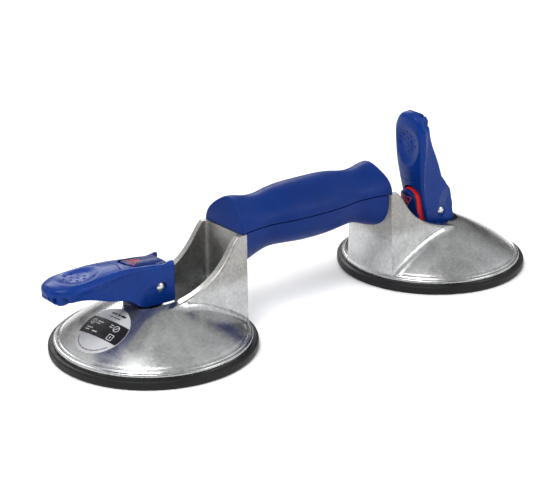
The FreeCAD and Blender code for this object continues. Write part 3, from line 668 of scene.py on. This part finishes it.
def make_lever(side):
    """The moulded lever, cut out for what is in it."""
    lever = lever_shell("lever_" + side + "_shell")
    cut(lever, *lever_cutters())
    lever.data.transform(unit_matrix(side))
    shade(lever, 30.0)
    finished(lever, "lever_" + side, "lever_plastic", "lever_" + side)


# ---- indicator, in the same frame as the lever ----
INDICATOR_START, INDICATOR_END, INDICATOR_HALF_WIDTH = -7.6, 20.0, 7.1
INDICATOR_CORNER, ROUND_PARTS = 1.6, 40
INDICATOR_BODY_TOP, INDICATOR_CAP_TOP = 13.6, 17.0
CAP_LIP, CAP_EDGE, CAP_BOW_RADIUS, CAP_SLOPE = 0.45, 0.7, 14.0, math.tan(math.radians(5.0))
CAP_OVERLAP = CAP_LIP + 0.08      # the pivot end covers the red body's ledge
CAP_FADE = (2.0, 10.0)            # the stretch over which that ends
CAP_LEAST, SKIRT_IN_BODY, SKIRT_BELOW_CAP = 0.15, 0.3, 1.2
NOSE_RADIUS, NOSE_U, NOSE_V, NOSE_LIFT = 9.5, 1.2, 6.4, 0.12
SIGN_CORNERS, SIGN_WIDTH = [(8.2, 0.0), (15.6, -4.9), (15.6, 4.9)], 0.55
SIGN_FRAME = ((11.4, -1.2), (13.8, 1.2), 0.45, 0.2)      # corners, line width and overhang
SIGN_DOT = ((12.3, 0.0), (12.9, 0.0), 0.6, 2)
# The rim lift, inset and width place a painted highlight: a strip of lighter blue round the cap's round end.
SIGN_LIFT, RIM_HIGHLIGHT_LIFT, DECAL_DEPTH = 0.10, 0.06, 0.15
RIM_HIGHLIGHT_INSET, RIM_HIGHLIGHT_WIDTH = CAP_LIP + 0.95, 0.32


def indicator_matrix(side):
    """As unit_matrix, with the indicator slid out of the raised lever."""
    out = 0.0 if side == "left" else INDICATOR_TRAVEL
    return unit_matrix(side) @ Matrix.Translation((0.0, 0.0, out))


def cap_height(u, y):
    """Top of the cap: bowed crosswise, falling towards the pivot, rounded at its nose."""
    bowed = INDICATOR_CAP_TOP + (u - INDICATOR_END) * CAP_SLOPE
    bowed = bowed - CAP_BOW_RADIUS + math.sqrt(max(0.0, CAP_BOW_RADIUS ** 2 - y * y))
    bowed = max(bowed, INDICATOR_BODY_TOP + CAP_LEAST)
    if u >= NOSE_U:
        return bowed
    nose = NOSE_V + math.sqrt(max(0.0, NOSE_RADIUS ** 2 - (u - NOSE_U) ** 2))
    return min(bowed, nose + NOSE_LIFT)


def indicator_outline(inset, overlap=0.0):
    """Plan of the indicator, square with rounded corners at the pivot end, round at the other."""
    half = max(0.04, INDICATOR_HALF_WIDTH - inset)
    start = INDICATOR_START + inset - overlap
    corner = max(0.02, min(INDICATOR_CORNER, half * 0.5))
    round_u, corner_u, corner_y = INDICATOR_END - inset - half, start + corner, half - corner
    points = arc((round_u, 0.0), half, -90, 180, ROUND_PARTS)
    points += split_line((round_u, half), (corner_u, half), 14)
    points += arc((corner_u, corner_y), corner, 90, 90, 6)
    points += split_line((start, corner_y), (start, -corner_y), 6)
    points += arc((corner_u, -corner_y), corner, 180, 90, 6)
    points += split_line((corner_u, -half), (round_u, -half), 14)
    return [(u, y * (1.0 + overlap / half * (1.0 - smoothstep(u, *CAP_FADE)))) for u, y in points]


def indicator_cap(name):
    """The cap's skirt, its rounded edge and its bowed top, ring by ring."""
    skirt = [(u, y, min(INDICATOR_BODY_TOP - SKIRT_IN_BODY, cap_height(u, y) - SKIRT_BELOW_CAP))
             for u, y in indicator_outline(CAP_LIP, CAP_OVERLAP)]
    rings = [skirt]
    for a in np.linspace(0.0, math.pi / 2, 7):
        inset = CAP_LIP + CAP_EDGE * (1 - math.cos(a))
        drop = CAP_EDGE * (1 - math.sin(a))
        rings.append([(u, y, cap_height(u, y) - drop * (0.1 + 0.9 * smoothstep(u, *CAP_FADE)))
                      for u, y in indicator_outline(inset, CAP_OVERLAP)])
    for inset in np.linspace(CAP_LIP + CAP_EDGE + 0.5, INDICATOR_HALF_WIDTH - 0.05, 14):
        rings.append([(u, y, cap_height(u, y)) for u, y in indicator_outline(inset, CAP_OVERLAP)])
    return stacked(name, rings, "indicator_blue", 40.0)


def cap_decal(name, strips, paint, lift):
    """Thin tiles lying on the cap, for the sign's artwork and for the painted highlight round the cap's end."""
    def place(u, y):
        top = cap_height(u, y)
        return [(u, y, top + lift), (u, y, top - DECAL_DEPTH)]

    return tile(name, strips, place, paint, 32.0)


def make_indicator(side):
    """The cap, an outlined triangle with a plain frame in it, and a painted highlight: a thin strip of lighter
    blue round the cap's end.
    """
    body = "indicator_" + side
    cap = indicator_cap("indicator_cap_" + side + "_shell")
    triangle = zip(SIGN_CORNERS, SIGN_CORNERS[1:] + SIGN_CORNERS[:1])
    strips = [stroke(a, b, SIGN_WIDTH, 10) for a, b in triangle]
    strips += frame_strips(*SIGN_FRAME) + [stroke(*SIGN_DOT)]
    sign = cap_decal("indicator_sign_" + side, strips, "sign_red", SIGN_LIFT)
    # Painted highlight: a strip of the lever's lighter blue along the cap's round end.
    line = indicator_outline(RIM_HIGHLIGHT_INSET)[2:ROUND_PARTS]
    strips = [stroke(a, b, RIM_HIGHLIGHT_WIDTH, 1) for a, b in zip(line[:-1], line[1:])]
    rim = cap_decal("indicator_rim_highlight_" + side, strips, "lever_plastic", RIM_HIGHLIGHT_LIFT)
    for obj in (cap, sign, rim):
        obj.data.transform(indicator_matrix(side))
    finished(cap, body, "indicator_blue", "indicator_cap_" + side)
    finished(sign, body, "indicator_red")
    finished(rim, body, "indicator_blue")


# ---- grip, along the row frame's x axis, in millimetres ----
GRIP_HALF_LENGTH = 57.6
# x: half-width, crown height and underside height
GRIP_TABLE = [(0.0, 18.4, 78.7, 42.3), (9.0, 18.2, 78.7, 42.5), (18.0, 17.6, 78.4, 43.2),
              (26.0, 16.2, 77.5, 43.7), (33.0, 15.2, 76.2, 43.5), (40.0, 15.3, 75.8, 41.8),
              (47.5, 16.1, 76.7, 39.0), (53.5, 17.3, 77.9, 37.5), (57.6, 18.4, 78.1, 37.0)]
CROWN, UNDERSIDE = 1, 2
SEAM_LOW, SEAM_HIGH = 60.1, 60.8
COVER_EDGE, LOWER_EDGE = 1.3, 0.6
# Half an arch each, as shares of the half-width and of the height or depth from the seam.
COVER_ARCH = [(1.0, 0.0), (0.955, 0.24), (0.81, 0.5), (0.52, 0.78), (0.0, 1.0)]
LOWER_ARCH = [(1.0, 0.0), (0.985, 0.4), (0.84, 0.72), (0.5, 0.93), (0.0, 1.0)]
# Height and half-length of the cover, which leans in towards its top.
COVER_END = [(60.8, 57.6), (64.0, 57.45), (68.0, 57.1), (71.0, 56.4), (74.0, 55.2), (77.5, 54.0),
             (79.0, 53.5)]
# Room in the shells for the casting's bar, rib and pedestals, and for the screws.
BAR_HALF_WIDTH, BAR_UNDERSIDE = 10.3, 46.7
RIB_HALF_LENGTH, RIB_FROM, RIB_TOP = 48.3, 59.0, 68.3
PEDESTAL_RADIUS = 56.3
SCREW_AT, SCREW_RADIUS, SCREW_HEAD_TOP = (-34.0, 0.0, 34.0), 3.9, 45.7
PAST_ENDS, BELOW_GRIP, ABOVE_SEAM = 60.0, 20.0, 70.0     # where a cutter ends, outside the shell


def grip_values(x):
    """Half-width, crown and underside at x."""
    rows = [(-r[0],) + r[1:] for r in reversed(GRIP_TABLE[1:])] + GRIP_TABLE
    return [float(smooth_curve([(r[0], r[k]) for r in rows], np.array([x]))[0]) for k in (1, 2, 3)]


def arch_points(half_arch):
    """The whole arch, smoothed, as 56 widths and heights."""
    arch = half_arch + [(-y, h) for y, h in reversed(half_arch[:-1])]
    t = np.linspace(0.0, len(arch) - 1.0, 56)
    return [smooth_curve([(k, point[which]) for k, point in enumerate(arch)], t) for which in (0, 1)]


def grip_rings(half_arch, seam, tip_row, edge):
    """Rings along x: an arch from the seam to the crown or underside, closed by a flat seam face."""
    ys, hs = arch_points(half_arch)
    ends = [(edge * (1 - math.sin(a)) - GRIP_HALF_LENGTH, edge * (1 - math.cos(a)))
            for a in np.linspace(math.pi / 2, 0.0, 7)]
    reach = GRIP_HALF_LENGTH - edge - 0.8
    middle = [(x, 0.0) for x in np.linspace(-reach, reach, 150)]
    rings = []
    for x, inset in ends + middle + [(-x, inset) for x, inset in reversed(ends)]:
        values = grip_values(x)
        height = values[tip_row] - seam
        y = ys * (values[0] - inset)
        z = seam + hs * (height - math.copysign(inset, height))
        seam_y = np.linspace(y[-1], y[0], 14)[1:-1]
        y, z = np.concatenate([y, seam_y]), np.concatenate([z, np.full_like(seam_y, seam)])
        rings.append(np.stack([np.full_like(y, x), y, z], 1))
    return rings


def grip_cover():
    """The upper shell, over the casting's rib."""
    rings = grip_rings(COVER_ARCH, SEAM_HIGH, CROWN, COVER_EDGE)
    for ring in rings:
        ring[:, 0] *= smooth_curve(COVER_END, ring[:, 2]) / GRIP_HALF_LENGTH
    cover = stacked("grip_cover_shell", rings, "grip_plastic", 35.0)
    rib = box("cut_rib", (-RIB_HALF_LENGTH, -BAR_HALF_WIDTH, RIB_FROM),
              (RIB_HALF_LENGTH, BAR_HALF_WIDTH, RIB_TOP), "grip_plastic")
    cut(cover, rib)
    return cover


def grip_lower():
    """The lower shell, open to the casting's bar and pedestals."""
    rings = grip_rings(LOWER_ARCH, SEAM_LOW, UNDERSIDE, LOWER_EDGE)
    lower = stacked("grip_lower_shell", rings, "grip_plastic", 35.0)
    bar = box("cut_bar", (-PAST_ENDS, -BAR_HALF_WIDTH, BAR_UNDERSIDE),
              (PAST_ENDS, BAR_HALF_WIDTH, ABOVE_SEAM), "grip_plastic")
    cutters = [bar]
    for x in (-CUP_X / MM, CUP_X / MM):
        pedestal = disc_outline(x, 0.0, PEDESTAL_RADIUS, 360)
        cutters.append(prism("cut_pedestal", pedestal, BELOW_GRIP, ABOVE_SEAM, 2, "grip_plastic"))
    for x in SCREW_AT:
        screw = disc_outline(x, 0.0, SCREW_RADIUS, 40)
        cutters.append(prism("cut_screw", screw, BELOW_GRIP, SCREW_HEAD_TOP, 2, "grip_plastic"))
    cut(lower, *cutters)
    return lower


def make_grip():
    """Both shells of the grip, in metres."""
    for obj, node in ((grip_cover(), "grip_cover"), (grip_lower(), "grip_lower")):
        obj.data.transform(Matrix.Scale(MM, 4))
        shade(obj, 35.0)
        finished(obj, "root", "grip_plastic", node)


# ---- dome feet and pads, turned round the cups' axes, in millimetres ----
CUP_PARTS = 240
ABOVE_DOMES = 60.0     # where rays start
FOOT_START, FOOT_UNDERSIDE, DOME_LIFT = 34.0, 5.3, 0.08
# Radius and height, from the dome's skin over the bead and the rounded edge to the underside.
RIM_PROFILE = [(52.0, 10.0), (52.35, 9.7), (52.8, 9.2), (53.2, 8.8), (53.6, 8.66), (54.0, 8.85),
               (54.4, 9.02), (54.8, 8.85), (55.1, 8.35), (55.35, 8.0), (55.7, 7.86), (56.1, 7.86),
               (56.45, 7.66), (56.7, 7.2), (56.76, 6.6), (56.72, 5.9), (56.5, 5.35), (55.9, FOOT_UNDERSIDE),
               (51.2, FOOT_UNDERSIDE), (FOOT_START, FOOT_UNDERSIDE)]
PAD_PROFILE = [(30.0, 0.0), (58.4, 0.0), (59.2, 0.15), (59.75, 0.6), (59.93, 1.2), (59.98, 2.0),
               (59.98, 3.4), (59.88, 4.2), (59.6, 4.75), (59.1, 5.05), (58.4, 5.18), (57.3, 5.2), (30.0, 5.2)]


def surface_tree(names):
    """Ray-casting tree, in millimetres, of some CAD nodes."""
    vertices, faces = [], []
    for name in names:
        mesh, place = NODES[name].data, NODES[name].matrix_world
        first = len(vertices)
        vertices += [place @ v.co / MM for v in mesh.vertices]
        faces += [[first + i for i in p.vertices] for p in mesh.polygons]
    return BVHTree.FromPolygons(vertices, faces)


def dome_skin():
    """Radius and height down the outer dome, measured on the casting away from its pedestal."""
    tree = surface_tree(("cast_body",))
    radii = np.arange(FOOT_START, 51.5, 0.7)
    heights = []
    for r in radii:
        starts = [Vector((CUP_X / MM + x, y, ABOVE_DOMES)) for x, y in arc((0, 0), r, 50, 75, 15)]
        heights.append(max(tree.ray_cast(start, Vector((0, 0, -1)))[0].z for start in starts))
    fit = np.polynomial.Polynomial.fit(radii, heights, 4)
    return [(float(r), float(fit(r)) + DOME_LIFT) for r in radii]


def turned(name, profile, side, paint, on_axis):
    """Turns a profile of (radius, height) round a cup's axis: a disc closed on it, or else a ring."""
    size, first = len(profile), CUP_PARTS * len(profile)
    vertices = [(r * math.cos(a), r * math.sin(a), z)
                for a in 2 * math.pi * np.arange(CUP_PARTS) / CUP_PARTS for r, z in profile]
    vertices += [(0.0, 0.0, profile[0][1]), (0.0, 0.0, profile[-1][1])] if on_axis else []
    faces = []
    for k in range(CUP_PARTS):
        i, n = k * size, (k + 1) % CUP_PARTS * size
        faces += [(i + j, n + j, n + j + 1, i + j + 1) for j in range(size - 1)]
        if on_axis:
            faces += [(first, n, i), (first + 1, i + size - 1, n + size - 1)]
        else:
            faces.append((i + size - 1, n + size - 1, n, i))
    obj = make_object(name, vertices, faces, paint, 40.0)
    outward(obj)
    obj.data.transform(Matrix.Translation((PIN_AT[side].x, 0, 0)) @ Matrix.Scale(MM, 4))
    return obj


def make_rim(side):
    """Foot of the dome with its beaded edge."""
    rim = turned("dome_foot_" + side, dome_skin() + RIM_PROFILE, side, "cast_aluminium", on_axis=False)
    finished(rim, "root", "cast_aluminium")


def make_pad(side):
    """The rubber pad with its rounded edge."""
    pad = turned("suction_pad_" + side + "_shell", PAD_PROFILE, side, "pad_rubber", on_axis=True)
    finished(pad, "root", "pad_rubber", "suction_pad_" + side)


# ---- label: generic marks, placed in millimetres along and down from its centre ----
LABEL_CENTRE, LABEL_RADIUS = (-143.71, -2.5), 16.6
LABEL_ALONG = (0.12, -0.99, 0.0)
RAY_LENGTH = 8.0
BAND_TOP, BAND_BOTTOM, BAND_ROWS, BAND_PARTS, BAND_MARGIN = -6.9, 5.6, 10, 40, 0.15
BAND_LIFT, MARK_LIFT, TILE_DEPTH = 0.07, 0.12, 0.15
# Centre, radius and width of each circle; ends, width and parts of each stroke.
LIGHT_CIRCLES = [(-11.0, -3.2, 1.9, 0.4), (8.4, -3.4, 1.9, 0.35)]
LIGHT_STROKES = [((-11.0, -4.3), (-11.0, -2.1), 0.6, 2), ((-7.9, -4.0), (-2.9, -4.0), 0.75, 4),
                 ((-7.9, -2.6), (-4.4, -2.6), 0.6, 4), ((-12.4, 1.3), (-7.2, 1.3), 0.6, 4),
                 ((-12.4, 2.9), (-9.0, 2.9), 0.6, 4), ((-6.0, 3.0), (-1.9, 3.0), 0.75, 4),
                 ((6.9, -1.9), (9.9, -4.9), 0.4, 3), ((3.2, -4.6), (5.4, -4.6), 0.5, 2),
                 ((3.2, -3.2), (5.4, -3.2), 0.5, 2), ((9.0, 2.0), (9.0, 3.5), 0.5, 2)]
LIGHT_FRAME = ((7.2, 0.9), (10.8, 4.5), 0.35)
DARK_STROKES = [((-4.0, -12.2), (0.5, -12.2), 1.3, 4), ((1.3, -12.2), (3.2, -12.2), 1.3, 2),
                ((3.9, -12.2), (7.4, -12.2), 1.3, 4), ((-3.4, -9.6), (-0.2, -9.6), 0.6, 3),
                ((0.6, -9.6), (5.6, -9.6), 0.6, 4)]
DASH_RADIUS, DASH_WIDTH, DASH_COUNT, DASH_START, DASH_END = 15.2, 0.55, 26, 35.0, 148.0


class Surface:
    """Lays flat artwork on the dome, by casting rays back along the label's own normal."""

    def __init__(self, names):
        self.tree = surface_tree(names)
        hit = self.tree.ray_cast(Vector((*LABEL_CENTRE, ABOVE_DOMES)), Vector((0, 0, -1)))
        self.centre, self.normal = hit[0], hit[1].normalized()
        along = Vector(LABEL_ALONG)
        self.along = (along - self.normal * along.dot(self.normal)).normalized()
        self.down = self.normal.cross(self.along)
        if self.down.x > 0:
            self.down = -self.down

    def put(self, p, q, lift):
        start = self.centre + self.along * p + self.down * q + self.normal * RAY_LENGTH
        hit = self.tree.ray_cast(start, -self.normal)
        return tuple(hit[0] + self.normal * lift)


def label_tile(surface, name, strips, paint, lift):
    printed = tile(name, strips, lambda p, q: [surface.put(p, q, lift), surface.put(p, q, -TILE_DEPTH)],
                   paint, 40.0)
    printed.data.transform(Matrix.Scale(MM, 4))
    finished(printed, "root", "label_foil")


def band_strips():
    """The black band across the round label, as strips one above another."""
    levels = np.linspace(BAND_TOP, BAND_BOTTOM, BAND_ROWS + 1)

    def across(q):
        reach = math.sqrt((LABEL_RADIUS - BAND_MARGIN) ** 2 - q * q)
        return [(p, q) for p in np.linspace(-reach, reach, BAND_PARTS + 1)]

    return [list(zip(across(upper), across(lower))) for upper, lower in zip(levels[:-1], levels[1:])]


def arc_dashes():
    """Uneven dashes along the label's edge, each filling 55 to 80 percent of its share."""
    turn = (DASH_END - DASH_START) / DASH_COUNT
    strips = []
    for k in range(DASH_COUNT):
        start, length = DASH_START + turn * k, turn * (0.55 + 0.125 * (k * 7 % 3))
        strips.append(list(zip(arc((0, 0), DASH_RADIUS, start, length, 3),
                               arc((0, 0), DASH_RADIUS - DASH_WIDTH, start, length, 3))))
    return strips


def make_label():
    """Band, light marks and dark marks on the foil. None of them is lettering."""
    surface = Surface(("cast_body", "label"))
    marks = [ring_strip(*circle) for circle in LIGHT_CIRCLES] + [stroke(*line) for line in LIGHT_STROKES]
    marks += frame_strips(*LIGHT_FRAME, parts=3)
    dark = [stroke(*line) for line in DARK_STROKES] + arc_dashes()
    label_tile(surface, "label_band", band_strips(), "label_black", BAND_LIFT)
    label_tile(surface, "label_marks", marks, "label_white", MARK_LIFT)
    label_tile(surface, "label_print", dark, "label_black", BAND_LIFT)


# ---- dress the CAD nodes that stay ----
def dress_cad_nodes():
    """Puts the slots' materials on the CAD nodes."""
    slots = {part["node"]: part["material_slot"] for part in frame["record"]["subparts"]}
    for name, obj in NODES.items():
        obj.data.materials.clear()
        obj.data.materials.append(MATERIALS[slots[name]])
        shade(obj, 28.0)


make_camera()
make_world()
for light in LIGHTS:
    area_light(*light)
make_floor()
dress_cad_nodes()
for side in SIDES:
    make_lever(side)
    make_indicator(side)
    make_rim(side)
    make_pad(side)
make_grip()
make_label()
